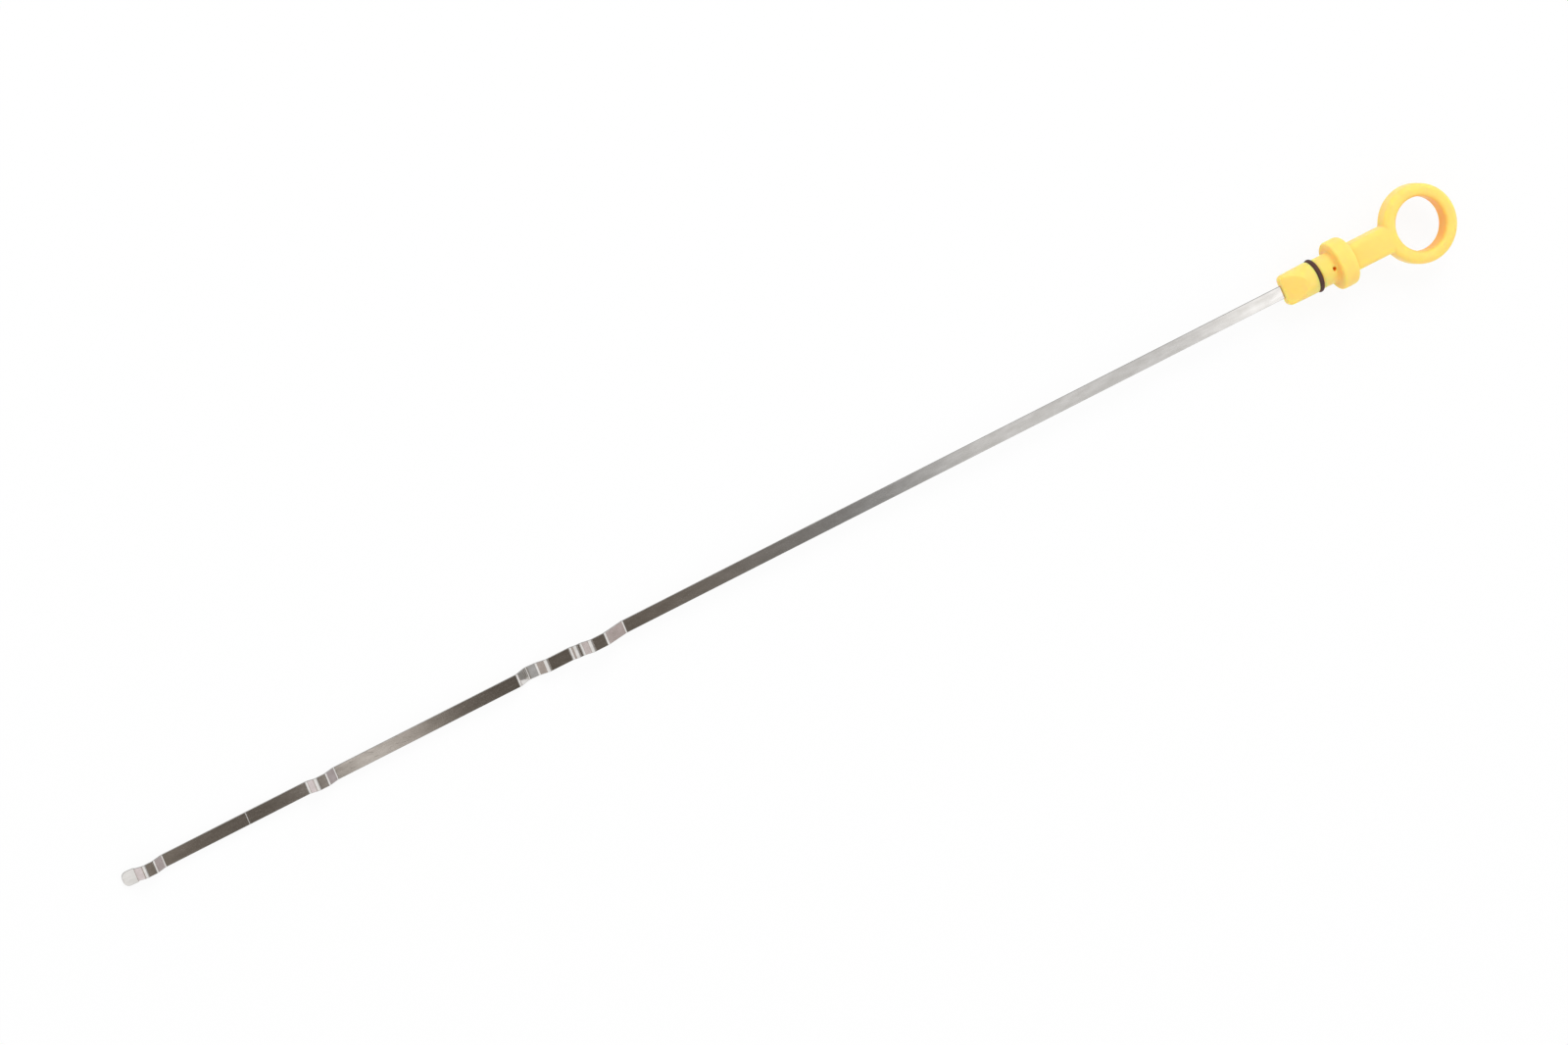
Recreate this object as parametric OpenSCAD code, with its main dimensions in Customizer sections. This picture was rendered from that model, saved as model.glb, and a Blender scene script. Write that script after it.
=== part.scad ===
// Engine oil dipstick: a joggled steel strip, moulded into a plastic handle that a rubber
// ring seals in its guide tube. It lies on a flat surface as it would come to rest: on the
// rim of its collar and the lowest bend of its strip. +X runs from the tip to the finger
// ring, the ring lies level, and the origin is under the middle of the whole.

/* [Strip] */
// Width of the steel strip
strip_w = 5; // [4.2:0.1:5.3]
// Thickness of the steel strip
strip_t = 0.9; // [0.6:0.05:1.2]
// Length of the strip outside the handle, from its tip to the plug
strip_len = 525.2; // [460:0.1:600]
// Inside radius of every bend
bend_r = 1.6; // [0.5:0.1:2]

/* [Tip] */
// How far the flattened tip stands out past the strip, on each side
tip_flare = 0.35; // [0.1:0.05:0.5]
// Radius where the tip's sides run out into the strip
tip_flare_r = 0.8; // [0.4:0.1:1.5]
// Distance from the tip to the first bend
tip_len = 5.5; // [4:0.1:8]
// Angle of the tip below the strip
tip_slope = 15; // [5:1:25]
// Radius of the tip's corners
tip_corner_r = 2.2; // [0.8:0.1:2.5]
// Distance of the scribed level line from the tip
line_pos = 55.3; // [40:0.1:70]
// Width of the scribed line
line_w = 0.4; // [0.3:0.05:0.8]
// Depth of the scribed line
line_deep = 0.1; // [0.05:0.05:0.2]

/* [Level joggles] */
// Height of the two joggles that bound the level range
level_h = 3.2; // [2:0.1:4]
// Run of their ramp on the tip's side
level_rise = 2.3; // [2.2:0.1:5]
// Length of their crest
level_crest = 4.6; // [3.5:0.1:7]
// Run of their ramp on the handle's side
level_fall = 5.1; // [3.5:0.1:8]
// Distance of the second one from the tip
level_pos = 82.9; // [75:0.1:110]

/* [Guide joggles] */
// Distance of the downward joggle from the tip
down_pos = 177.6; // [150:0.1:182]
// Height of the downward joggle
down_h = 4.4; // [2.5:0.1:4.8]
// Run of its ramp on the tip's side
down_rise = 6; // [4:0.1:8]
// Length of its crest
down_crest = 4.3; // [3:0.1:6]
// How far its crest slopes back on the way to the handle
down_relax = 1.2; // [0.4:0.1:1.6]
// Run of its ramp on the handle's side
down_fall = 3; // [2.6:0.1:6]
// Distance of the stepped joggle from the tip
step_pos = 201.6; // [197:0.1:240]
// Height of its first step
step_h = 1.9; // [1.2:0.1:2.4]
// Run of the ramp to its first step
step_rise = 1.8; // [1.7:0.1:3]
// Length of its first step
step_flat = 2.2; // [1.8:0.1:4]
// Height of its crest
crest_h = 5.3; // [4:0.1:5.3]
// Run of the ramp from its first step to its crest
crest_rise = 2.8; // [2.6:0.1:5]
// Length of its crest
crest_len = 6.3; // [4:0.1:9]
// Run of its long ramp on the handle's side
crest_fall = 10.5; // [7:0.1:14]

/* [Root in the handle] */
// Length of the strip inside the handle
root_len = 41; // [32:0.5:43]
// Distance of the locking hole from the root's end
root_hole_pos = 3.5; // [2.5:0.1:5]
// Diameter of the locking hole
root_hole_d = 2.2; // [1.6:0.1:2.6]
// Distance of the locking notches from the root's end
notch_pos = 9; // [7.5:0.1:12]
// Radius of the locking notches
notch_r = 0.9; // [0.5:0.1:1.2]
// Radius of the corners at the root's end
root_corner_r = 0.6; // [0.2:0.1:1.5]

/* [Plug] */
// Diameter of the plug's nose, below the seal
nose_d = 12.7; // [12.6:0.1:14]
// How far the nose tapers in to its end, on each side
nose_taper = 0.15; // [0.1:0.05:0.8]
// Length of the nose
nose_len = 13.5; // [11:0.1:16]
// Length of the nose's straight land, next to the seal
nose_land = 3; // [2:0.1:4]
// Radius round the nose's end
nose_edge_r = 2.2; // [0.5:0.1:2.6]
// Length of the two flats that make the nose a wedge
wedge_len = 9; // [6:0.1:10]
// Thickness of the wedge at its end
wedge_end = 3.4; // [2.4:0.1:5]
// How far the neck, between the seal and the collar, lies below the nose's surface
neck_relief = 0.35; // [0:0.05:0.5]
// Length of the neck
neck_len = 7.4; // [6:0.1:10]
// Diameter of the two moulding-pin holes in the neck
pin_hole_d = 1.4; // [1:0.1:1.8]
// Distance of the moulding-pin holes from the collar
pin_hole_pos = 1.7; // [1.6:0.1:4]

/* [Seal] */
// How far the rubber ring stands proud of the nose
seal_proud = 0.4; // [0.15:0.05:0.45]
// Thickness of the rubber ring's section
seal_cs = 1.8; // [1.7:0.1:1.9]
// Free room in the groove on each side of the rubber ring
groove_gap = 0.1; // [0.05:0.05:0.3]

/* [Collar] */
// Diameter of the collar
collar_d = 19.5; // [17:0.1:22]
// Thickness of the collar
collar_t = 7.3; // [5:0.1:8]
// Radius of the collar's edge towards the tube
collar_seat_r = 0.8; // [0.3:0.1:1.2]
// Radius of the collar's shoulder towards the ring
collar_back_r = 2.2; // [1:0.1:2.6]
// Radius in the corner between the neck and the collar
neck_fillet_r = 0.6; // [0.5:0.1:0.9]

/* [Ring and shank] */
// Outside diameter of the finger ring
ring_od = 30.8; // [27:0.1:34]
// Diameter of the finger hole
hole_d = 20.8; // [18:0.1:23]
// Thickness of the ring and the shank
plate_t = 9.2; // [7:0.1:10]
// Width of the shank
shank_w = 10.9; // [8:0.1:11.5]
// Length of the shank, from the collar to the ring's outside
shank_len = 16.3; // [12:0.1:24]
// Radius of the outer edges of the ring and the shank
outer_edge_r = 2.2; // [0.8:0.1:2.4]
// Radius of the edges of the finger hole
hole_edge_r = 2; // [0.4:0.1:2.2]

/* [Hidden] */
$fn = 96;
// Steps in the arc of each bend and of each rounded corner
arc_steps = 8;
// Share of the shorter side that a rounded corner may take up
corner_share = 0.49;
// Angle below which a corner stays unrounded
least_bend = 0.5;
// Overshoot of a cutter past the face that it opens
past = 1;

strip_end = strip_len + root_len;
tip_drop = tip_len * tan(tip_slope);
nose_end_d = nose_d - 2 * nose_taper;
neck_d = nose_d - 2 * neck_relief;
groove_d = nose_d + 2 * seal_proud - 2 * seal_cs;
seal_r = (groove_d + seal_cs) / 2;
groove_w = seal_cs + 2 * groove_gap;
groove_x = strip_len + nose_len;
neck_x = groove_x + groove_w;
collar_x = neck_x + neck_len;
shank_x = collar_x + collar_t;
ring_r = ring_od / 2;
hole_r = hole_d / 2;
ring_x = shank_x + shank_len + ring_r;
collar_r = collar_d / 2;

// Joggle in the strip's side view, as [distance from the tip, height] at each of its bends. Its
// crest runs from height h to height end_h.
function joggle(x, h, end_h, rise, crest, fall) =
    [[x, 0], [x + rise, h], [x + rise + crest, end_h], [x + rise + crest + fall, 0]];

crest_x = step_pos + step_rise + step_flat + crest_rise;
// Centreline of the strip in its side view, from a little before its tip.
bend_points = concat(
    [[-past, -tip_drop - past * tan(tip_slope)]],
    joggle(tip_len, level_h, level_h, level_rise, level_crest, level_fall),
    joggle(level_pos, level_h, level_h, level_rise, level_crest, level_fall),
    joggle(down_pos, -down_h, down_relax - down_h, down_rise, down_crest, down_fall),
    [[step_pos, 0], [step_pos + step_rise, step_h], [crest_x - crest_rise, step_h]],
    [[crest_x, crest_h], [crest_x + crest_len, crest_h]],
    [[crest_x + crest_len + crest_fall, 0], [strip_end, 0]]
);

function unit(v) = v / norm(v);
function left_of(v) = [-v.y, v.x];
function turned(v, a) = [v.x * cos(a) - v.y * sin(a), v.x * sin(a) + v.y * cos(a)];
// Signed angle by which a path turns from direction u to direction v, anticlockwise positive.
function turn(u, v) = atan2(u.x * v.y - u.y * v.x, u * v);

// Arc at corner b of the path a, b, c, drawn at a distance to the left of the path. The
// radius is the path's own, and stays within what the two sides leave room for.
function corner(a, b, c, radius, aside = 0) =
    let (
        u = unit(b - a),
        v = unit(c - b),
        bend = turn(u, v),
        side = bend < 0 ? -1 : 1,
        half = tan(abs(bend) / 2),
        room = corner_share * min(norm(b - a), norm(c - b)),
        r = min(radius, bend == 0 ? radius : room / half),
        centre = b - u * r * half + left_of(u) * side * r
    )
    radius <= 0 || abs(bend) < least_bend ? [b + left_of(u) * aside] :
    [for (k = [0 : arc_steps])
        centre + turned(left_of(u), bend * k / arc_steps) * (aside - side * r)];

// Open path with a rounded corner at each inner point, drawn at a distance to its left.
function bent_path(points, radius, aside) =
    let (last = len(points) - 1)
    concat(
        [points[0] + left_of(unit(points[1] - points[0])) * aside],
        [for (i = [1 : last - 1])
            each corner(points[i - 1], points[i], points[i + 1], radius, aside)],
        [points[last] + left_of(unit(points[last] - points[last - 1])) * aside]
    );

// Closed outline from [x, y, radius] corners.
function rounded(corners) =
    let (n = len(corners), at = [for (p = corners) [p.x, p.y]])
    [for (i = [0 : n - 1])
        each corner(at[(i + n - 1) % n], at[i], at[(i + 1) % n], corners[i].z)];

function reversed(list) = [for (i = [len(list) - 1 : -1 : 0]) list[i]];

mid_bend_r = bend_r + strip_t / 2;
strip_under = bent_path(bend_points, mid_bend_r, -strip_t / 2);
strip_over = bent_path(bend_points, mid_bend_r, strip_t / 2);

// At rest the collar's rim bears on the surface, and the strip tips down until the lowest
// place on its underside bears too: a bend, or the tip.
rim_x = collar_x + collar_seat_r;
tip_side = strip_t / 2 / cos(tip_slope);
tip_under = [0, -tip_drop - tip_side];
rest_tilt = min([for (p = concat([tip_under], strip_under)) if (p.x >= 0 && p.x < strip_len)
    atan((collar_r + p.y) / (rim_x - p.x))]);
rest_low = rim_x * sin(rest_tilt) - (collar_r - collar_seat_r) * cos(rest_tilt) - collar_seat_r;
rest_left = (tip_drop - tip_side) * sin(rest_tilt);
rest_right = (ring_x + ring_r - outer_edge_r) * cos(rest_tilt)
    + (plate_t / 2 - outer_edge_r) * sin(rest_tilt) + outer_edge_r;

module at_rest() {
    translate([-(rest_left + rest_right) / 2, 0, -rest_low])
        rotate([0, -rest_tilt, 0])
            children();
}

// Turns a profile drawn as [distance along the axis, radius] about the axis.
module turned_about_axis() {
    rotate([0, 90, 0])
        rotate_extrude()
            mirror([1, 0])
                rotate(90)
                    children();
}

// Side view of the strip, wider than its tip.
module strip_bends() {
    rotate([90, 0, 0])
        linear_extrude(strip_w + 2 * tip_flare + 2 * past, center = true)
            polygon(concat(strip_under, reversed(strip_over)));
}

// Top view of the strip: rounded tip, straight sides, notches and hole in the root.
module strip_blank() {
    half = strip_w / 2;
    tip_half = half + tip_flare;
    flare_x = tip_len - tip_flare;
    difference() {
        polygon(rounded([
            [0, -tip_half, tip_corner_r],
            [flare_x, -tip_half, tip_flare_r],
            [tip_len, -half, tip_flare_r],
            [strip_end, -half, root_corner_r],
            [strip_end, half, root_corner_r],
            [tip_len, half, tip_flare_r],
            [flare_x, tip_half, tip_flare_r],
            [0, tip_half, tip_corner_r]
        ]));
        for (side = [-half, half])
            translate([strip_end - notch_pos, side])
                circle(notch_r);
        translate([strip_end - root_hole_pos, 0])
            circle(d = root_hole_d);
    }
}

module strip_solid() {
    reach = tip_drop + down_h + crest_h + level_h + 2 * past;
    difference() {
        intersection() {
            strip_bends();
            linear_extrude(2 * reach, center = true)
                strip_blank();
        }
        translate([line_pos - line_w / 2, -strip_w, strip_t / 2 - line_deep])
            cube([line_w, 2 * strip_w, past]);
    }
}

// Nose, groove, neck and collar, turned about the strip's axis.
module plug_and_collar() {
    turned_about_axis()
        polygon(rounded([
            [strip_len, 0, 0],
            [shank_x, 0, 0],
            [shank_x, collar_r, collar_back_r],
            [collar_x, collar_r, collar_seat_r],
            [collar_x, neck_d / 2, neck_fillet_r],
            [neck_x, neck_d / 2, 0],
            [neck_x, groove_d / 2, 0],
            [groove_x, groove_d / 2, 0],
            [groove_x, nose_d / 2, 0],
            [groove_x - nose_land, nose_d / 2, 0],
            [strip_len, nose_end_d / 2, nose_edge_r]
        ]));
}

// What is pared off the nose above and below, to leave a wedge.
module wedge_flats() {
    for (side = [0, 1])
        mirror([0, 0, side])
            rotate([90, 0, 0])
                linear_extrude(nose_d + 2 * past, center = true)
                    polygon([
                        [strip_len - past, wedge_end / 2],
                        [strip_len, wedge_end / 2],
                        [strip_len + wedge_len, nose_d / 2],
                        [strip_len + wedge_len, nose_d / 2 + past],
                        [strip_len - past, nose_d / 2 + past]
                    ]);
}

// Flat bar from inside the collar to the middle of the ring's wall.
module shank() {
    bar_x = shank_x - collar_back_r;
    bar_end = ring_x - (ring_r + hole_r) / 2;
    e = outer_edge_r;
    translate([bar_x, 0, 0])
        rotate([90, 0, 90])
            linear_extrude(bar_end - bar_x)
                polygon(rounded([
                    [-shank_w / 2, -plate_t / 2, e],
                    [shank_w / 2, -plate_t / 2, e],
                    [shank_w / 2, plate_t / 2, e],
                    [-shank_w / 2, plate_t / 2, e]
                ]));
}

module finger_ring() {
    translate([ring_x, 0, 0])
        rotate_extrude()
            polygon(rounded([
                [hole_r, -plate_t / 2, hole_edge_r],
                [ring_r, -plate_t / 2, outer_edge_r],
                [ring_r, plate_t / 2, outer_edge_r],
                [hole_r, plate_t / 2, hole_edge_r]
            ]));
}

module pin_holes() {
    translate([collar_x - pin_hole_pos, 0, 0])
        cylinder(h = neck_d + 2 * past, d = pin_hole_d, center = true);
}

module blade() {
    color("slategray")
        at_rest()
            strip_solid();
}

module handle() {
    color("gold")
        at_rest()
            difference() {
                union() {
                    plug_and_collar();
                    shank();
                    finger_ring();
                }
                wedge_flats();
                pin_holes();
                strip_solid();
            }
}

module o_ring() {
    color("black")
        at_rest()
            turned_about_axis()
                translate([groove_x + groove_w / 2, seal_r])
                    circle(d = seal_cs);
}

blade();
handle();
o_ring();
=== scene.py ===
"""Looks of an engine oil dipstick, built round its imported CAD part.

The part is a joggled steel strip, a yellow moulded handle and a rubber sealing ring. The strip
and the handle get meshes of their own, which stand for their CAD nodes, and the ring keeps its
node. All lengths in the classes are in millimetres, in the dipstick's own frame: X from the tip
to the finger ring, Z up, both on the strip's middle line. RestPose turns them into the frame.
"""

import logging
import math
from dataclasses import dataclass, field
from enum import Enum

import bmesh
import bpy
from mathutils import Matrix, Vector


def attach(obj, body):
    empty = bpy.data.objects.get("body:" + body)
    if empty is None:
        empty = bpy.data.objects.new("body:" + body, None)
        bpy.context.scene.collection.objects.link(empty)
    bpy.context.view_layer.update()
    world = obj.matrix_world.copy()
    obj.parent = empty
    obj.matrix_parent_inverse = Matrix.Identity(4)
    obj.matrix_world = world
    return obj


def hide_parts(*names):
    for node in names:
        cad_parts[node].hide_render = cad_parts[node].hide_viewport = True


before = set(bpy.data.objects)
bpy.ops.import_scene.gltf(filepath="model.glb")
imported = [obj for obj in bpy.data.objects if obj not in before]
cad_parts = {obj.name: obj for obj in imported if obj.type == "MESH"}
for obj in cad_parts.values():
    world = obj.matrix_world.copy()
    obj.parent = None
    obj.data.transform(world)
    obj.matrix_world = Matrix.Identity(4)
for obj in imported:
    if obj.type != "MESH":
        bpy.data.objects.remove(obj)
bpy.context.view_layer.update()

BODY = "root"
MM = 0.001
LOG = logging.getLogger("dipstick")

Colour = tuple[float, float, float]
Point2 = tuple[float, float]
Point3 = tuple[float, float, float]


class Part(Enum):
    """The CAD part's nodes, each listed with a material slot name that nothing here reads."""

    BLADE = ("blade", "strip_steel")
    HANDLE = ("handle", "yellow_plastic")
    SEAL = ("o_ring", "seal_rubber")

    @property
    def node(self) -> str:
        """The node's name."""
        return self.value[0]

    def stand_in(self, piece: bpy.types.Object) -> None:
        """Lets a piece stand for this node and move with the body.

        Args:
            piece: The piece.
        """
        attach(piece, BODY)
        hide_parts(self.node)


@dataclass(frozen=True)
class RestPose:
    """How the dipstick lies: tilted about Y, then moved to the middle of the frame."""

    tilt: float = math.radians(0.800082)
    back: float = 301.2445
    up: float = 2.0845

    def matrix(self) -> Matrix:
        """The move from the dipstick's own millimetres to the frame's metres."""
        moved = Matrix.Translation((-self.back, 0.0, self.up))
        return Matrix.Scale(MM, 4) @ moved @ Matrix.Rotation(-self.tilt, 4, "Y")

    def place(self, x: float, y: float, z: float) -> Vector:
        """A point of the dipstick, in the frame."""
        return self.matrix() @ Vector((x, y, z))


REST = RestPose()


def smooth_step(low: float, high: float, x: float) -> float:
    """A soft step from 0 below low to 1 above high."""
    share = min(1.0, max(0.0, (x - low) / (high - low)))
    return share * share * (3.0 - 2.0 * share)


def new_object(name: str, shape: bmesh.types.BMesh) -> bpy.types.Object:
    """Puts a finished shape into the scene.

    Args:
        name: Name of the new object and of its mesh.
        shape: The shape, which is freed.

    Returns:
        The new object.
    """
    mesh = bpy.data.meshes.new(name)
    shape.to_mesh(mesh)
    shape.free()
    made = bpy.data.objects.new(name, mesh)
    bpy.context.scene.collection.objects.link(made)
    return made


def flat_sheet(name: str, move: Matrix) -> bpy.types.Object:
    """A flat sheet, made from a level square of side 1.

    Args:
        name: The sheet's name.
        move: What turns and stretches the square into the sheet, in the frame.

    Returns:
        The sheet.
    """
    shape = bmesh.new()
    bmesh.ops.create_grid(shape, x_segments=1, y_segments=1, size=0.5)
    shape.transform(move)
    return new_object(name, shape)


def applied(piece: bpy.types.Object) -> bpy.types.Object:
    """Turns a piece's modifiers into its own mesh.

    Args:
        piece: The piece, with modifiers.

    Returns:
        The same piece, without modifiers.
    """
    graph = bpy.context.evaluated_depsgraph_get()
    mesh = bpy.data.meshes.new_from_object(piece.evaluated_get(graph))
    mesh.name = piece.name
    piece.modifiers.clear()
    piece.data = mesh
    return piece


def shade_smooth(piece: bpy.types.Object, sharp_over: float) -> None:
    """Smooths a piece's shading, apart from edges over an angle.

    Args:
        piece: The piece.
        sharp_over: The angle in degrees.
    """
    piece.data.polygons.foreach_set("use_smooth", [True] * len(piece.data.polygons))
    piece.data.set_sharp_from_angle(angle=math.radians(sharp_over))


# Shader tools and shared effects


class Bench:
    """Adds nodes to one tree and joins them."""

    def __init__(self, tree: bpy.types.NodeTree) -> None:
        """Works on this tree."""
        self.tree = tree

    def feed(self, socket: bpy.types.NodeSocket, value: object) -> None:
        """Sets a socket to a value, or links another socket to it.

        Args:
            socket: The input socket.
            value: A number, a vector, a colour or an output socket.
        """
        if isinstance(value, bpy.types.NodeSocket):
            self.tree.links.new(value, socket)
        elif isinstance(value, tuple) and len(value) == 3 and socket.type == "RGBA":
            socket.default_value = (*value, 1.0)
        else:
            socket.default_value = value

    def add(self, kind: str, inputs: dict[str, object] | None = None, **settings: object
            ) -> bpy.types.Node:
        """Adds a node.

        Args:
            kind: The node's type.
            inputs: What feeds its named input sockets.
            settings: Its other properties.

        Returns:
            The new node.
        """
        node = self.tree.nodes.new(kind)
        for name, value in settings.items():
            setattr(node, name, value)
        for name, value in (inputs or {}).items():
            self.feed(node.inputs[name], value)
        return node

    def math(self, operation: str, a: object, b: object = 0.0) -> bpy.types.NodeSocket:
        """Works a sum out.

        Args:
            operation: The kind of sum.
            a: Its first value.
            b: Its second value, where it has one.

        Returns:
            The socket of the result.
        """
        node = self.tree.nodes.new("ShaderNodeMath")
        node.operation = operation
        self.feed(node.inputs[0], a)
        self.feed(node.inputs[1], b)
        return node.outputs[0]

    def remap(self, value: object, from_low: float, from_high: float, to_low: object = 0.0,
              to_high: object = 1.0) -> bpy.types.NodeSocket:
        """A value moved from one range to another, and held inside it.

        Args:
            value: The value.
            from_low: Low end of its own range.
            from_high: High end of its own range.
            to_low: What the low end becomes.
            to_high: What the high end becomes.

        Returns:
            The socket of the new value.
        """
        return self.add("ShaderNodeMapRange", {
            "Value": value, "From Min": from_low, "From Max": from_high,
            "To Min": to_low, "To Max": to_high}).outputs["Result"]

    def mix(self, share: object, a: object, b: object) -> bpy.types.NodeSocket:
        """Mixes two colours.

        Args:
            share: How much of the second there is.
            a: The first colour.
            b: The second colour.

        Returns:
            The socket of the mixed colour.
        """
        node = self.tree.nodes.new("ShaderNodeMix")
        node.data_type = "RGBA"
        self.feed(node.inputs[0], share)
        self.feed(node.inputs[6], a)
        self.feed(node.inputs[7], b)
        return node.outputs[2]

    def effect(self, group: bpy.types.NodeTree, output: str, **inputs: object
               ) -> bpy.types.NodeSocket:
        """Places a shared effect.

        Args:
            group: The effect's node group.
            output: Name of the output that is wanted.
            inputs: Values of its inputs, with _ for a space in their names.

        Returns:
            The output's socket.
        """
        node = self.tree.nodes.new("ShaderNodeGroup")
        node.node_tree = group
        for name, value in inputs.items():
            self.feed(node.inputs[name.replace("_", " ")], value)
        return node.outputs[output]

    def seen(self) -> bpy.types.NodeSocket:
        """Tells the rays that show a surface from those that light one.

        Returns:
            A socket: 1 for a ray of the camera, off a mirror or through glass.
        """
        rays = self.add("ShaderNodeLightPath").outputs
        clear = self.math("MAXIMUM", rays["Is Glossy Ray"], rays["Is Transmission Ray"])
        return self.math("MAXIMUM", rays["Is Camera Ray"], clear)

    def glow(self, tone: object) -> None:
        """Ends a material in an even glow of this tone."""
        light = self.add("ShaderNodeEmission", {"Color": tone, "Strength": 1.0})
        self.add("ShaderNodeOutputMaterial", {"Surface": light.outputs[0]})


def empty_tree(owner: bpy.types.Material | bpy.types.World) -> Bench:
    """Empties the node tree of a material or a world.

    Args:
        owner: The material or world.

    Returns:
        A bench that works on the tree.
    """
    owner.use_nodes = True
    owner.node_tree.nodes.clear()
    return Bench(owner.node_tree)


class Effects:
    """The effects that more than one finish uses, each a node group that is built once."""

    def __init__(self) -> None:
        """Builds the groups."""
        self.grain = self._grain()
        self.crease = self._crease()
        self.scuffs = self._scuffs()

    @staticmethod
    def _start(name: str, inputs: dict[str, object], outputs: dict[str, str]
               ) -> tuple[bpy.types.NodeTree, Bench, dict[str, bpy.types.NodeSocket]]:
        """Starts a group.

        Args:
            name: The group's name.
            inputs: Input names and their default values.
            outputs: Output names and their socket types.

        Returns:
            The group, its bench and its inner input sockets by name.
        """
        tree = bpy.data.node_groups.new(name, "ShaderNodeTree")
        for label, value in inputs.items():
            kind = "NodeSocketVector" if isinstance(value, tuple) else "NodeSocketFloat"
            made = tree.interface.new_socket(label, in_out="INPUT", socket_type=kind)
            made.default_value = value
        for label, kind in outputs.items():
            tree.interface.new_socket(label, in_out="OUTPUT", socket_type=kind)
        bench = Bench(tree)
        entry = tree.nodes.new("NodeGroupInput")
        return tree, bench, {label: entry.outputs[label] for label in inputs}

    @staticmethod
    def _end(bench: Bench, results: dict[str, bpy.types.NodeSocket]) -> None:
        """Feeds a group's outputs.

        Args:
            bench: The group's bench.
            results: What feeds each output, by its name.
        """
        way_out = bench.tree.nodes.new("NodeGroupOutput")
        for label, socket in results.items():
            bench.feed(way_out.inputs[label], socket)

    def _grain(self) -> bpy.types.NodeTree:
        """Fine or coarse mottling, which stretches where its scale differs by axis.

        Returns:
            The group.
        """
        tree, bench, given = self._start(
            "Grain", {"Scale": (100.0, 100.0, 100.0), "Contrast": 1.0},
            {"Mask": "NodeSocketFloat"})
        where = bench.add("ShaderNodeTexCoord").outputs["Object"]
        scaled = bench.add("ShaderNodeVectorMath", operation="MULTIPLY")
        bench.feed(scaled.inputs[0], where)
        bench.feed(scaled.inputs[1], given["Scale"])
        noise = bench.add("ShaderNodeTexNoise", {
            "Vector": scaled.outputs[0], "Scale": 1.0, "Detail": 3.0, "Roughness": 0.55})
        centred = bench.math("SUBTRACT", noise.outputs[0], 0.5)
        spread = bench.math("MULTIPLY", centred, given["Contrast"])
        mask = bench.add("ShaderNodeClamp", {"Value": bench.math("ADD", spread, 0.5)})
        self._end(bench, {"Mask": mask.outputs[0]})
        return tree

    def _crease(self) -> bpy.types.NodeTree:
        """How far a place is shut in by its own piece, from 0 in the open to 1.

        Returns:
            The group.
        """
        tree, bench, given = self._start(
            "Crease", {"Distance": 0.005, "Open": 0.95, "Shut": 0.5},
            {"Mask": "NodeSocketFloat"})
        shut_in = bench.add("ShaderNodeAmbientOcclusion", {"Distance": given["Distance"]},
                            samples=16, only_local=True)
        mask = bench.add("ShaderNodeMapRange", {
            "Value": shut_in.outputs["AO"], "From Min": given["Open"],
            "From Max": given["Shut"]}, interpolation_type="SMOOTHSTEP")
        self._end(bench, {"Mask": mask.outputs["Result"]})
        return tree

    def _scuffs(self) -> bpy.types.NodeTree:
        """Thin stray handling marks, few and short.

        Returns:
            The group.
        """
        tree, bench, given = self._start(
            "Scuffs", {"Scale": (100.0, 100.0, 100.0), "Turn": 0.3, "Amount": 0.5},
            {"Mask": "NodeSocketFloat"})
        where = bench.add("ShaderNodeTexCoord").outputs["Object"]
        turned = bench.add("ShaderNodeVectorRotate", {"Vector": where, "Angle": given["Turn"]},
                           rotation_type="Z_AXIS")
        scaled = bench.add("ShaderNodeVectorMath", operation="MULTIPLY")
        bench.feed(scaled.inputs[0], turned.outputs[0])
        bench.feed(scaled.inputs[1], given["Scale"])
        noise = bench.add("ShaderNodeTexNoise", {
            "Vector": scaled.outputs[0], "Scale": 1.0, "Detail": 2.0, "Roughness": 0.5})
        mark = bench.remap(noise.outputs[0], 0.66, 0.72, 0.0, given["Amount"])
        self._end(bench, {"Mask": mark})
        return tree


def start_material(name: str) -> tuple[bpy.types.Material, Bench, bpy.types.Node]:
    """An empty material with its main shader.

    Args:
        name: The material's name.

    Returns:
        The material, its bench and its Principled shader.
    """
    material = bpy.data.materials.new(name)
    bench = empty_tree(material)
    shader = bench.add("ShaderNodeBsdfPrincipled")
    bench.add("ShaderNodeOutputMaterial", {"Surface": shader.outputs[0]})
    return material, bench, shader


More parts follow.
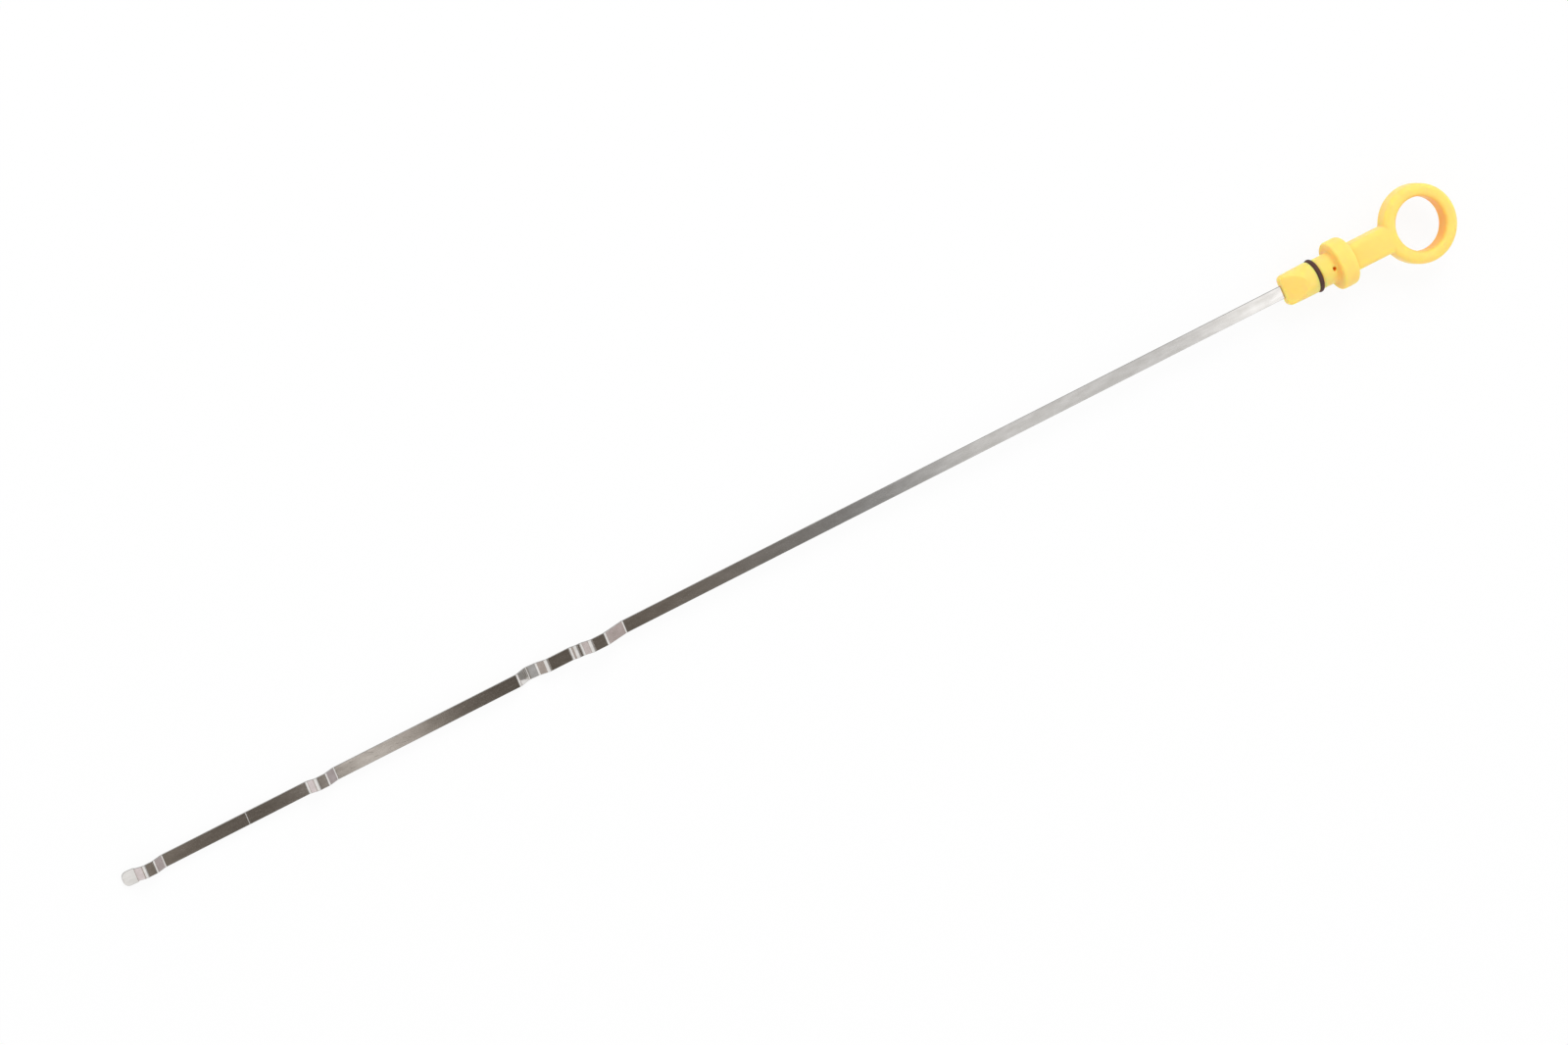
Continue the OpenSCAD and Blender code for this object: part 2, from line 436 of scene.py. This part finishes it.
@dataclass(frozen=True)
class SpringSteel:
    """Bright cold-rolled strip: fine rolling lines along it, and dull rough cut edges, with
    painted shade that darkens them and their roundings.
    """

    light: Colour = (0.84, 0.82, 0.80)
    dull: Colour = (0.58, 0.56, 0.53)
    # Colour of the cut edges, darkened as painted shade.
    dull_edge_and_shade: Colour = (0.36, 0.35, 0.34)
    roughness: float = 0.09
    rough_run: Point2 = (0.85, 1.25)
    rough_sheared: float = 0.5
    side_turn: Point2 = (0.12, 0.45)
    end_turn: Point2 = (0.5, 0.3)
    line_scale: Point3 = (60.0, 5200.0, 5200.0)
    line_share: float = 0.2
    streak_scale: Point3 = (26.0, 1100.0, 1100.0)
    streak_share: float = 0.35
    cloud_scale: Point3 = (150.0, 420.0, 420.0)
    cloud_share: float = 0.7
    scuff_scale: Point3 = (260.0, 4200.0, 900.0)
    scuff_rough: float = 0.12
    line_height: float = 0.000004

    def _edge_faces(self, bench: Bench) -> bpy.types.NodeSocket:
        """A mask of the strip's cut sides and ends, and of the roundings at their edges.

        Args:
            bench: The material's bench.

        Returns:
            The mask's socket: 1 where the surface faces sideways or endways.
        """
        facing = bench.add("ShaderNodeSeparateXYZ", {
            0: bench.add("ShaderNodeTexCoord").outputs["Normal"]}).outputs
        sideways = bench.remap(bench.math("ABSOLUTE", facing["Y"]), *self.side_turn)
        endways = bench.remap(bench.math("ABSOLUTE", facing["Z"]), *self.end_turn)
        return bench.math("MAXIMUM", sideways, endways)

    def material(self, effects: Effects) -> bpy.types.Material:
        """Builds the finish.

        Args:
            effects: The shared effects.

        Returns:
            The material.
        """
        material, bench, shader = start_material("Spring steel")
        lines = bench.effect(effects.grain, "Mask", Scale=self.line_scale, Contrast=1.8)
        streaks = bench.effect(effects.grain, "Mask", Scale=self.streak_scale, Contrast=2.2)
        clouds = bench.effect(effects.grain, "Mask", Scale=self.cloud_scale, Contrast=2.4)
        scuffs = bench.effect(effects.scuffs, "Mask", Scale=self.scuff_scale, Turn=0.2,
                              Amount=0.6)
        dull_edge_and_shade = self._edge_faces(bench)
        tone = self.light
        for mask, share in ((clouds, self.cloud_share), (streaks, self.streak_share),
                            (lines, self.line_share)):
            tone = bench.mix(bench.math("MULTIPLY", mask, share), tone, self.dull)
        # Painted shade: the sides, ends and edge roundings take a dark colour that puts out
        # their glint.
        bench.feed(shader.inputs["Base Color"], bench.mix(dull_edge_and_shade, tone, self.dull_edge_and_shade))
        rough = bench.remap(lines, 0.0, 1.0, *(self.roughness * part for part in self.rough_run))
        rough = bench.math("ADD", rough, bench.math("MULTIPLY", scuffs, self.scuff_rough))
        rough = bench.math("MAXIMUM", rough,
                           bench.math("MULTIPLY", dull_edge_and_shade, self.rough_sheared))
        bench.feed(shader.inputs["Roughness"], rough)
        shader.inputs["Metallic"].default_value = 1.0
        height = bench.math("SUBTRACT", bench.math("ADD", lines, streaks), scuffs)
        bump = bench.add("ShaderNodeBump", {
            "Height": height, "Strength": 0.35, "Distance": self.line_height})
        bench.feed(shader.inputs["Normal"], bump.outputs[0])
        return material


@dataclass(frozen=True)
class YellowPlastic:
    """Moulded plastic, a little translucent, with orange painted shade in its tight corners and
    hollows.
    """

    open_tone: Colour = (0.99, 0.71, 0.19)
    # Tone of the random mottling, and of the painted shade in corners and hollows.
    mottle_and_shade_tone: Colour = (1.0, 0.36, 0.02)
    roughness: float = 0.4
    rough_run: Point2 = (0.85, 1.2)
    subsurface: float = 1.0
    scatter: Point3 = (1.0, 0.3, 0.08)
    scatter_mm: float = 6.0
    cloud_scale: Point3 = (180.0, 180.0, 180.0)
    cloud_share: float = 0.08
    grain_scale: Point3 = (3200.0, 3200.0, 3200.0)
    grain_height: float = 0.000012
    scuff_scale: Point3 = (500.0, 3000.0, 500.0)
    scuff_rough: float = 0.2
    corner_reach: float = 0.006
    hollow_reach: Point2 = (0.013, 0.03)
    hollow_share: float = 0.62

    def _painted_shade_mask(self, bench: Bench, effects: Effects) -> bpy.types.NodeSocket:
        """A mask of where shade is painted: the tight corners, and hollows with walls some way
        off.

        Args:
            bench: The material's bench.
            effects: The shared effects.

        Returns:
            The mask's socket.
        """
        corner = bench.effect(effects.crease, "Mask", Distance=self.corner_reach, Open=0.85,
                              Shut=0.4)
        near, far = (bench.effect(effects.crease, "Mask", Distance=reach, Open=0.95, Shut=0.6)
                     for reach in self.hollow_reach)
        hollow = bench.remap(bench.math("SUBTRACT", far, near), 0.1, 0.9, 0.0,
                             self.hollow_share)
        return bench.math("MAXIMUM", corner, hollow)

    def material(self, effects: Effects) -> bpy.types.Material:
        """Builds the finish.

        Args:
            effects: The shared effects.

        Returns:
            The material.
        """
        material, bench, shader = start_material("Yellow plastic")
        clouds = bench.effect(effects.grain, "Mask", Scale=self.cloud_scale, Contrast=1.4)
        grain = bench.effect(effects.grain, "Mask", Scale=self.grain_scale, Contrast=1.3)
        scuffs = bench.effect(effects.scuffs, "Mask", Scale=self.scuff_scale, Turn=0.7,
                              Amount=0.35)
        tone = bench.mix(bench.math("MULTIPLY", clouds, self.cloud_share), self.open_tone,
                         self.mottle_and_shade_tone)
        # Painted shade: corners and hollows turn to the orange tone by how shut in they are.
        bench.feed(shader.inputs["Base Color"],
                   bench.mix(self._painted_shade_mask(bench, effects), tone, self.mottle_and_shade_tone))
        rough = bench.remap(clouds, 0.0, 1.0,
                            *(self.roughness * part for part in self.rough_run))
        bench.feed(shader.inputs["Roughness"], bench.math(
            "ADD", rough, bench.math("MULTIPLY", scuffs, self.scuff_rough)))
        shader.inputs["IOR"].default_value = 1.45
        shader.inputs["Subsurface Weight"].default_value = self.subsurface
        shader.inputs["Subsurface Radius"].default_value = self.scatter
        shader.inputs["Subsurface Scale"].default_value = self.scatter_mm * MM
        bump = bench.add("ShaderNodeBump", {
            "Height": bench.math("SUBTRACT", grain, scuffs), "Strength": 0.4,
            "Distance": self.grain_height})
        bench.feed(shader.inputs["Normal"], bump.outputs[0])
        return material


@dataclass(frozen=True)
class SealRubber:
    """Near-black nitrile rubber, a little dusty, with a fine moulded grain."""

    black: Colour = (0.06, 0.024, 0.02)
    dusty: Colour = (0.13, 0.06, 0.05)
    roughness: float = 0.55
    rough_run: Point2 = (0.85, 1.2)
    gloss: float = 0.3
    dust_scale: Point3 = (420.0, 420.0, 420.0)
    dust_share: float = 0.5
    grain_scale: Point3 = (5200.0, 5200.0, 5200.0)
    grain_height: float = 0.00001

    def material(self, effects: Effects) -> bpy.types.Material:
        """Builds the finish.

        Args:
            effects: The shared effects.

        Returns:
            The material.
        """
        material, bench, shader = start_material("Seal rubber")
        dust = bench.effect(effects.grain, "Mask", Scale=self.dust_scale, Contrast=2.0)
        grain = bench.effect(effects.grain, "Mask", Scale=self.grain_scale, Contrast=1.4)
        bench.feed(shader.inputs["Base Color"], bench.mix(
            bench.math("MULTIPLY", dust, self.dust_share), self.black, self.dusty))
        bench.feed(shader.inputs["Roughness"], bench.remap(
            grain, 0.0, 1.0, *(self.roughness * part for part in self.rough_run)))
        shader.inputs["Specular IOR Level"].default_value = self.gloss
        bump = bench.add("ShaderNodeBump", {
            "Height": grain, "Strength": 0.4, "Distance": self.grain_height})
        bench.feed(shader.inputs["Normal"], bump.outputs[0])
        return material


# The strip


@dataclass(frozen=True)
class Station:
    """One place along the strip: where its middle line is and which way it runs."""

    x: float
    z: float
    slope: float


@dataclass
class StripPath:
    """The strip's middle line in its side view: straight runs with rounded bends."""

    points: tuple[Point2, ...]
    bend_r: float
    arc_steps: int = 12
    corner_share: float = 0.49
    support: float = 0.03

    def _arc(self, before: Point2, at: Point2, after: Point2) -> list[Station]:
        """The bend at one point.

        Args:
            before: The point before it.
            at: The point that the bend rounds off.
            after: The point after it.

        Returns:
            Its stations, with one more close to each end to keep the runs flat.
        """
        u = (Vector(at) - Vector(before)).normalized()
        v = (Vector(after) - Vector(at)).normalized()
        start = math.atan2(u.y, u.x)
        turn = math.atan2(v.y, v.x) - start
        room = self.corner_share * min((Vector(at) - Vector(before)).length,
                                       (Vector(after) - Vector(at)).length)
        half = math.tan(abs(turn) / 2)
        radius = min(self.bend_r, room / half)
        side = math.copysign(1.0, turn)
        begin = Vector(at) - u * radius * half
        centre = begin + Vector((-u.y, u.x)) * side * radius
        found = []
        for k in range(self.arc_steps + 1):
            slope = start + turn * k / self.arc_steps
            spot = centre + Vector((math.sin(slope), -math.cos(slope))) * side * radius
            found.append(Station(spot.x, spot.y, slope))
        ahead = Station(begin.x - u.x * self.support, begin.y - u.y * self.support, start)
        last = found[-1]
        behind = Station(last.x + v.x * self.support, last.z + v.y * self.support, start + turn)
        return [ahead, *found, behind]

    def bends(self) -> list[Station]:
        """All stations of all bends, from the tip on."""
        return [station for i in range(1, len(self.points) - 1)
                for station in self._arc(*self.points[i - 1:i + 2])]

    def at(self, x: float) -> Station:
        """The station at a distance from the tip.

        Args:
            x: The distance.

        Returns:
            The station, between the nearest two that the bends give.
        """
        first, last = self.points[0], self.points[-1]
        run = [Station(*first, self.bends()[0].slope), *self.bends(), Station(*last, 0.0)]
        for a, b in zip(run, run[1:]):
            if a.x <= x <= b.x:
                share = (x - a.x) / (b.x - a.x)
                return Station(x, a.z + (b.z - a.z) * share,
                               a.slope + (b.slope - a.slope) * share)
        raise ValueError(f"the strip has no place at {x}")


@dataclass(frozen=True)
class Joggle:
    """A pressed joggle in the side view: a ramp, a crest and a ramp back."""

    start: float
    high: float
    end_high: float
    rise: float
    crest: float
    fall: float

    def bends(self) -> tuple[Point2, ...]:
        """Its four bends, from the tip's side on.

        Returns:
            Their distances from the tip, each with its height.
        """
        top = self.start + self.rise
        return ((self.start, 0.0), (top, self.high), (top + self.crest, self.end_high),
                (top + self.crest + self.fall, 0.0))


@dataclass
class Blade:
    """The steel strip, from its lifted tip to its root inside the handle."""

    width: float = 5.0
    thick: float = 0.9
    bend_r: float = 2.05
    edge_r: float = 0.13
    tip_flare: float = 0.35
    tip_corner_r: float = 2.2
    tip_slope: float = math.radians(15.0)
    flare_run: Point2 = (4.95, 5.7)
    joggles: tuple[Joggle, ...] = (
        Joggle(5.5, 3.2, 3.2, 2.3, 4.6, 5.1), Joggle(82.9, 3.2, 3.2, 2.3, 4.6, 5.1),
        Joggle(177.6, -4.4, -3.2, 6.0, 4.3, 3.0))
    stepped: tuple[Point2, ...] = ((201.6, 0.0), (203.4, 1.9), (205.6, 1.9), (208.4, 5.3),
                                   (214.7, 5.3), (225.2, 0.0))
    line_at: float = 55.3
    line_wide: float = 0.34
    line_deep: float = 0.045
    end: float = 566.2
    notch_at: float = 557.2
    notch_r: float = 0.9
    hole_at: float = 562.7
    hole_r: float = 1.1
    corner_steps: int = 4
    support: float = 0.04
    finish: SpringSteel = field(default_factory=SpringSteel)

    def path(self) -> StripPath:
        """The strip's middle line.

        Returns:
            Its path, from the tip's lifted end to the root's end.
        """
        drop = self.joggles[0].start * math.tan(self.tip_slope)
        bends = [bend for joggle in self.joggles for bend in joggle.bends()]
        points = ((0.0, -drop), *bends, *self.stepped, (self.end, 0.0))
        return StripPath(points, self.bend_r)

    def half_width(self, x: float) -> float:
        """Half of the strip's width, seen from above.

        Args:
            x: Distance from the tip.

        Returns:
            The half width, with the tip's rounded corners, its flare and the root's notches.
        """
        half = self.width / 2 + self.tip_flare * (1.0 - smooth_step(*self.flare_run, x))
        if x < self.tip_corner_r:
            inward = self.tip_corner_r - max(0.0, x)
            half -= self.tip_corner_r - math.sqrt(self.tip_corner_r ** 2 - inward ** 2)
        off = abs(x - self.notch_at)
        if off < self.notch_r:
            half -= math.sqrt(self.notch_r ** 2 - off ** 2)
        return half

    @staticmethod
    def _quarter(first: int, steps: int) -> list[float]:
        """How far a quarter circle of radius 1 has come forward, at even steps of its turn."""
        return [1 - math.cos(k * math.pi / (2 * steps)) for k in range(first, steps + 1)]

    def stations(self) -> list[Station]:
        """Every station of the sweep.

        Returns:
            The stations, from the tip to the root's end. One stands just before and just
            after each change of form, which keeps the runs between them straight.
        """
        path = self.path()
        start = self.thick / 2 * math.sin(self.tip_slope)
        curl = [start + self.edge_r * inward for inward in self._quarter(0, 4)]
        sweep = [start + self.tip_corner_r * inward for inward in self._quarter(3, 12)]
        flare = [self.flare_run[0] + k * (self.flare_run[1] - self.flare_run[0]) / 6
                 for k in range(-1, 8)]
        line = [self.line_at + k * self.line_wide / 4 for k in (-2.2, -2, -1, 0, 1, 2, 2.2)]
        notch = [self.notch_at + self.notch_r * math.sin(k * math.pi / 16)
                 for k in range(-8, 9)]
        wanted = sorted([*curl, *sweep, *flare, *line, *notch, self.end])
        found = [path.at(x) for x in wanted] + path.bends()
        found.sort(key=lambda station: station.x)
        return [a for a, b in zip(found, found[1:]) if b.x - a.x > 1e-4] + [found[-1]]

    def section(self, half: float, inset: float) -> list[Point2]:
        """A cross-section of the strip with rounded edges.

        Args:
            half: Half of its width.
            inset: How far it lies inside its full size, near an end.

        Returns:
            Its points, as distances to the side and up.
        """
        half, high = half - inset, self.thick / 2 - inset
        radius = max(0.01, self.edge_r - inset)
        points = []
        for side, up, start in ((1, 1, 0), (-1, 1, 90), (-1, -1, 180), (1, -1, 270)):
            arc = [(side * (half - radius) + radius * math.cos(angle),
                    up * (high - radius) + radius * math.sin(angle))
                   for angle in (math.radians(start + 90 * k / self.corner_steps)
                                 for k in range(self.corner_steps + 1))]
            begin, stop = arc[0], arc[-1]
            points += [(begin[0], begin[1] - self.support * up) if side == up
                       else (begin[0] - self.support * side, begin[1])]
            points += arc
            points += [(stop[0] - self.support * side, stop[1]) if side == up
                       else (stop[0], stop[1] - self.support * up)]
        return points

    def line_depth(self, x: float) -> float:
        """Depth of the scribed line at a distance from the tip."""
        return self.line_deep * max(0.0, 1.0 - abs(x - self.line_at) / (self.line_wide / 2))

    def build(self) -> bpy.types.Object:
        """Sweeps the strip's section along its path.

        Returns:
            The blade, in the frame.
        """
        shape = bmesh.new()
        rings = []
        first = self.thick / 2 * math.sin(self.tip_slope)
        for station in self.stations():
            run_in = min(station.x - first, self.end - station.x)
            near = min(1.0, max(0.0, run_in / self.edge_r))
            inset = self.edge_r * (1.0 - math.sqrt(1.0 - (1.0 - near) ** 2))
            ahead = Vector((math.cos(station.slope), 0.0, math.sin(station.slope)))
            up = Vector((-ahead.z, 0.0, ahead.x))
            ring = []
            for side, high in self.section(self.half_width(station.x - first), inset):
                if high > 0:
                    high -= self.line_depth(station.x)
                spot = Vector((station.x, side, station.z)) + up * high
                ring.append(shape.verts.new(REST.place(*spot)))
            rings.append(ring)
        count = len(rings[0])
        for a, b in zip(rings, rings[1:]):
            for j in range(count):
                k = (j + 1) % count
                shape.faces.new((a[j], a[k], b[k], b[j]))
        shape.faces.new(rings[0][::-1])
        shape.faces.new(rings[-1])
        bmesh.ops.recalc_face_normals(shape, faces=shape.faces)
        piece = new_object("spring_strip", shape)
        self._punch(piece)
        shade_smooth(piece, 32.0)
        return piece

    def _punch(self, piece: bpy.types.Object) -> None:
        """Punches the locking hole through the root.

        Args:
            piece: The blade.
        """
        shape = bmesh.new()
        bmesh.ops.create_cone(
            shape, cap_ends=True, segments=32, radius1=self.hole_r, radius2=self.hole_r,
            depth=4 * self.thick, matrix=Matrix.Translation((self.hole_at, 0.0, 0.0)))
        shape.transform(REST.matrix())
        punch = new_object("punch", shape)
        cut = piece.modifiers.new("hole", "BOOLEAN")
        cut.operation, cut.object, cut.solver = "DIFFERENCE", punch, "EXACT"
        applied(piece)
        bpy.data.objects.remove(punch)

    def dress(self, piece: bpy.types.Object, effects: Effects) -> None:
        """Gives the blade its steel and its place in the part."""
        piece.data.materials.append(self.finish.material(effects))
        Part.BLADE.stand_in(piece)


# The handle


@dataclass
class Handle:
    """The yellow moulding, with the softened corners of a moulded part."""

    voxel: float = 0.28
    soften: int = 9
    slot: Point3 = (5.6, 1.5, 41.8)
    slot_start: float = 525.45
    finish: YellowPlastic = field(default_factory=YellowPlastic)

    def _filled_copy(self) -> bpy.types.Object:
        """Fills the strip's slot in a copy of the CAD node, so that it softens cleanly.

        Returns:
            The copy.
        """
        shape = bmesh.new()
        shape.from_mesh(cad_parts[Part.HANDLE.node].data)
        wide, high, deep = self.slot
        middle = Matrix.Translation((self.slot_start + deep / 2, 0.0, 0.0))
        size = Matrix.Diagonal((deep, wide, high, 1.0))
        bmesh.ops.create_cube(shape, size=1.0, matrix=REST.matrix() @ middle @ size)
        bmesh.ops.remove_doubles(shape, verts=shape.verts, dist=1e-7)
        return new_object("moulding", shape)

    def build(self) -> bpy.types.Object:
        """Softens the moulding's corners all over.

        Returns:
            The handle, in the frame.
        """
        piece = self._filled_copy()
        remesh = piece.modifiers.new("skin", "REMESH")
        remesh.mode, remesh.voxel_size = "VOXEL", self.voxel * MM
        soften = piece.modifiers.new("soften", "SMOOTH")
        soften.factor, soften.iterations = 0.5, self.soften
        applied(piece)
        shade_smooth(piece, 80.0)
        return piece

    def dress(self, piece: bpy.types.Object, effects: Effects) -> None:
        """Gives the handle its plastic and its place in the part.

        Args:
            piece: The handle.
            effects: The shared effects.
        """
        piece.data.materials.clear()
        piece.data.materials.append(self.finish.material(effects))
        Part.HANDLE.stand_in(piece)


@dataclass
class Seal:
    """The rubber ring, which keeps its CAD shape."""

    finish: SealRubber = field(default_factory=SealRubber)

    def dress(self, effects: Effects) -> bpy.types.Object:
        """Gives the ring its rubber.

        Args:
            effects: The shared effects.

        Returns:
            The ring.
        """
        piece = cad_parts[Part.SEAL.node]
        piece.data.materials.clear()
        piece.data.materials.append(self.finish.material(effects))
        shade_smooth(piece, 60.0)
        return piece


# The studio


@dataclass
class Camera:
    """The photograph's long view from above, over the tip's side."""

    towards: Point3 = (-0.372726, 0.178461, 0.910619)
    right: Point3 = (0.826054, -0.383253, 0.413221)
    aim: Point3 = (-0.2915, 8.1297, 7.6359)
    distance: float = 18093.95
    lens: float = 1100.0
    sensor: float = 36.0
    clip: Point2 = (1.0, 200.0)

    def build(self) -> None:
        """Places the camera."""
        back = Vector(self.towards).normalized()
        right = Vector(self.right)
        right = (right - back * right.dot(back)).normalized()
        up = back.cross(right)
        data = bpy.data.cameras.new("camera")
        data.lens, data.sensor_width = self.lens, self.sensor
        data.clip_start, data.clip_end = self.clip
        made = bpy.data.objects.new("camera", data)
        turned = Matrix((right, up, back)).transposed().to_4x4()
        spot = (Vector(self.aim) + back * self.distance) * MM
        made.matrix_world = Matrix.Translation(spot) @ turned
        bpy.context.scene.collection.objects.link(made)
        bpy.context.scene.camera = made


def mirrored_card(name: str, move: Matrix) -> Bench:
    """A flat card that only mirrors see.

    Args:
        name: The card's name.
        move: What turns a square of side 1 into the card, in the frame.

    Returns:
        The bench of its material.
    """
    made = flat_sheet(name, move)
    material = bpy.data.materials.new(name)
    made.data.materials.append(material)
    made.visible_camera = False
    made.visible_diffuse = False
    made.visible_transmission = False
    made.visible_shadow = False
    return empty_tree(material)


@dataclass(frozen=True)
class EndCard:
    """An upright card past one end of the strip, which the joggles' ramps mirror."""

    name: str
    at: Point3
    wide: float
    high: float
    low_tone: Colour
    top_tone: Colour
    turn: Point2 = (0.33, 0.67)

    def build(self) -> None:
        """Stands the card on its place, and shades it from its foot to its top."""
        x, y, z = self.at
        middle = Matrix.Translation((x, y, z + self.high / 2))
        upright = Matrix.Rotation(math.radians(90.0), 4, "Y")
        bench = mirrored_card(
            self.name, middle @ upright @ Matrix.Diagonal((self.high, self.wide, 1.0, 1.0)))
        where = bench.add("ShaderNodeTexCoord").outputs["Generated"]
        upward = bench.add("ShaderNodeSeparateXYZ", {0: where}).outputs["Z"]
        bench.glow(bench.mix(bench.remap(upward, *self.turn), self.low_tone, self.top_tone))


@dataclass(frozen=True)
class Lamp:
    """A soft square lamp that looks at the frame's middle, and that no mirror shows."""

    name: str
    spot: Point3
    size: float
    watts: float

    def build(self) -> None:
        """Hangs the lamp."""
        data = bpy.data.lights.new(self.name, "AREA")
        data.shape, data.size, data.energy = "SQUARE", self.size, self.watts
        made = bpy.data.objects.new(self.name, data)
        bpy.context.scene.collection.objects.link(made)
        made.location = self.spot
        made.rotation_mode = "QUATERNION"
        made.rotation_quaternion = Vector(self.spot).to_track_quat("Z", "Y")
        made.visible_glossy = False


@dataclass
class Studio:
    """Pale floor, white surround, soft lamp, and the cards that the bright steel mirrors."""

    floor_side: float = 8.0
    surround: float = 0.95
    floor_tone: Colour = (0.86, 0.86, 0.86)
    shadow_share: float = 0.1
    card_high: float = 700.0
    card_wide: float = 560.0
    card_run: Point2 = (-250.0, 590.0)
    mirror_lean: Point2 = (0.377, -0.194)
    card_levels: tuple[Point2, ...] = (
        (-250, 0.5), (-60, 0.45), (0, 0.27), (50, 0.115), (88, 0.16), (93, 0.66),
        (113, 0.87), (128, 0.5), (142, 0.15), (158, 0.11), (250, 0.19), (262, 0.23),
        (310, 0.234), (333, 0.317), (357, 0.455), (366, 0.58), (381, 0.84), (476, 0.73),
        (512, 1.3))
    card_tint: Colour = (1.0, 0.86, 0.73)
    tint_low: Point2 = (0.0, -60.0)
    tint_high: Point2 = (240.0, 330.0)
    tint_levels: Point2 = (0.2, 1.2)
    spread: float = 1.037
    end_cards: tuple[EndCard, ...] = (
        EndCard("ring_end_card", (0.35, -0.11, 0.0), 0.16, 0.145, (0.5, 0.46, 0.48),
                (0.52, 0.44, 0.43)),
        EndCard("tip_end_card", (-0.4, -0.04, 0.0), 0.2, 0.12, (0.88, 0.8, 0.82),
                (0.52, 0.46, 0.43)))
    key: Lamp = Lamp("key", (1.1, 2.1, 2.2), 1.6, 32.0)

    def floor(self) -> None:
        """Lays the floor, white to the eye but for a share of the object's shadow."""
        made = flat_sheet("floor", Matrix.Scale(self.floor_side, 4))
        material = bpy.data.materials.new("Floor")
        bench = empty_tree(material)
        seen = bench.seen()
        paint = bench.add("ShaderNodeBsdfDiffuse", {"Color": self.floor_tone})
        white = bench.add("ShaderNodeEmission", {"Color": (1.0, 1.0, 1.0), "Strength": 1.0})
        shown = bench.add("ShaderNodeMixShader", {0: 1.0 - self.shadow_share})
        bench.feed(shown.inputs[1], paint.outputs[0])
        bench.feed(shown.inputs[2], white.outputs[0])
        surface = bench.add("ShaderNodeMixShader", {0: seen})
        bench.feed(surface.inputs[1], paint.outputs[0])
        bench.feed(surface.inputs[2], shown.outputs[0])
        bench.add("ShaderNodeOutputMaterial", {"Surface": surface.outputs[0]})
        made.data.materials.append(material)

    def world(self) -> None:
        """Puts up a surround that is white to the eye and plain to everything else."""
        world = bpy.data.worlds.new("surround")
        bench = empty_tree(world)
        level = bench.remap(bench.seen(), 0.0, 1.0, self.surround, 1.0)
        light = bench.add("ShaderNodeBackground", {"Color": (1.0, 1.0, 1.0),
                                                   "Strength": level})
        bench.add("ShaderNodeOutputWorld", {"Surface": light.outputs[0]})
        bpy.context.scene.world = world

    def _share(self, x: float) -> float:
        """How far along the graded card it is that the strip mirrors it at this place."""
        start, stop = self.card_run
        return (x - start) / (stop - start)

    def graded_card(self) -> None:
        """Hangs the long card over the strip, dark over the tip and white over the plug."""
        ahead, aside = (lean * self.card_high for lean in self.mirror_lean)
        low, high = ((x - REST.back) * self.spread + ahead for x in self.card_run)
        middle = Matrix.Translation(((low + high) / 2, aside, self.card_high))
        bench = mirrored_card("graded_card", Matrix.Scale(MM, 4) @ middle @ (
            Matrix.Diagonal((high - low, self.card_wide, 1.0, 1.0))))
        where = bench.add("ShaderNodeTexCoord").outputs["Generated"]
        along = bench.add("ShaderNodeSeparateXYZ", {0: where}).outputs["X"]
        ramp = bench.add("ShaderNodeValToRGB", {"Fac": along})
        stops = ramp.color_ramp.elements
        while len(stops) < len(self.card_levels):
            stops.new(0.5)
        for element, (x, level) in zip(stops, self.card_levels):
            element.position = self._share(x)
            element.color = (level, level, level, 1.0)
        ends = [bench.remap(along, *map(self._share, run))
                for run in (self.tint_low, self.tint_high)]
        plain = bench.math("MAXIMUM", bench.math("MAXIMUM", *ends),
                           bench.remap(ramp.outputs["Color"], *self.tint_levels))
        tint = bench.mix(plain, self.card_tint, (1.0, 1.0, 1.0))
        tinted = bench.add("ShaderNodeMix", data_type="RGBA", blend_type="MULTIPLY")
        bench.feed(tinted.inputs[0], 1.0)
        bench.feed(tinted.inputs[6], ramp.outputs["Color"])
        bench.feed(tinted.inputs[7], tint)
        bench.glow(tinted.outputs[2])

    def build(self) -> None:
        """Sets up the whole studio."""
        self.world()
        self.floor()
        self.graded_card()
        for card in self.end_cards:
            card.build()
        self.key.build()


def main() -> None:
    """Builds the studio and the pieces, and reports each of them."""
    logging.basicConfig(level=logging.INFO, format="%(name)s: %(message)s")
    bpy.context.scene.view_settings.view_transform = "Standard"
    Camera().build()
    LOG.info("camera placed")
    Studio().build()
    LOG.info("studio lit")
    effects = Effects()
    blade = Blade()
    strip = blade.build()
    blade.dress(strip, effects)
    LOG.info("%s: %d faces", strip.name, len(strip.data.polygons))
    handle = Handle()
    moulding = handle.build()
    handle.dress(moulding, effects)
    LOG.info("%s: %d faces", moulding.name, len(moulding.data.polygons))
    ring = Seal().dress(effects)
    LOG.info("%s: %d faces", ring.name, len(ring.data.polygons))


if __name__ == "__main__":
    main()
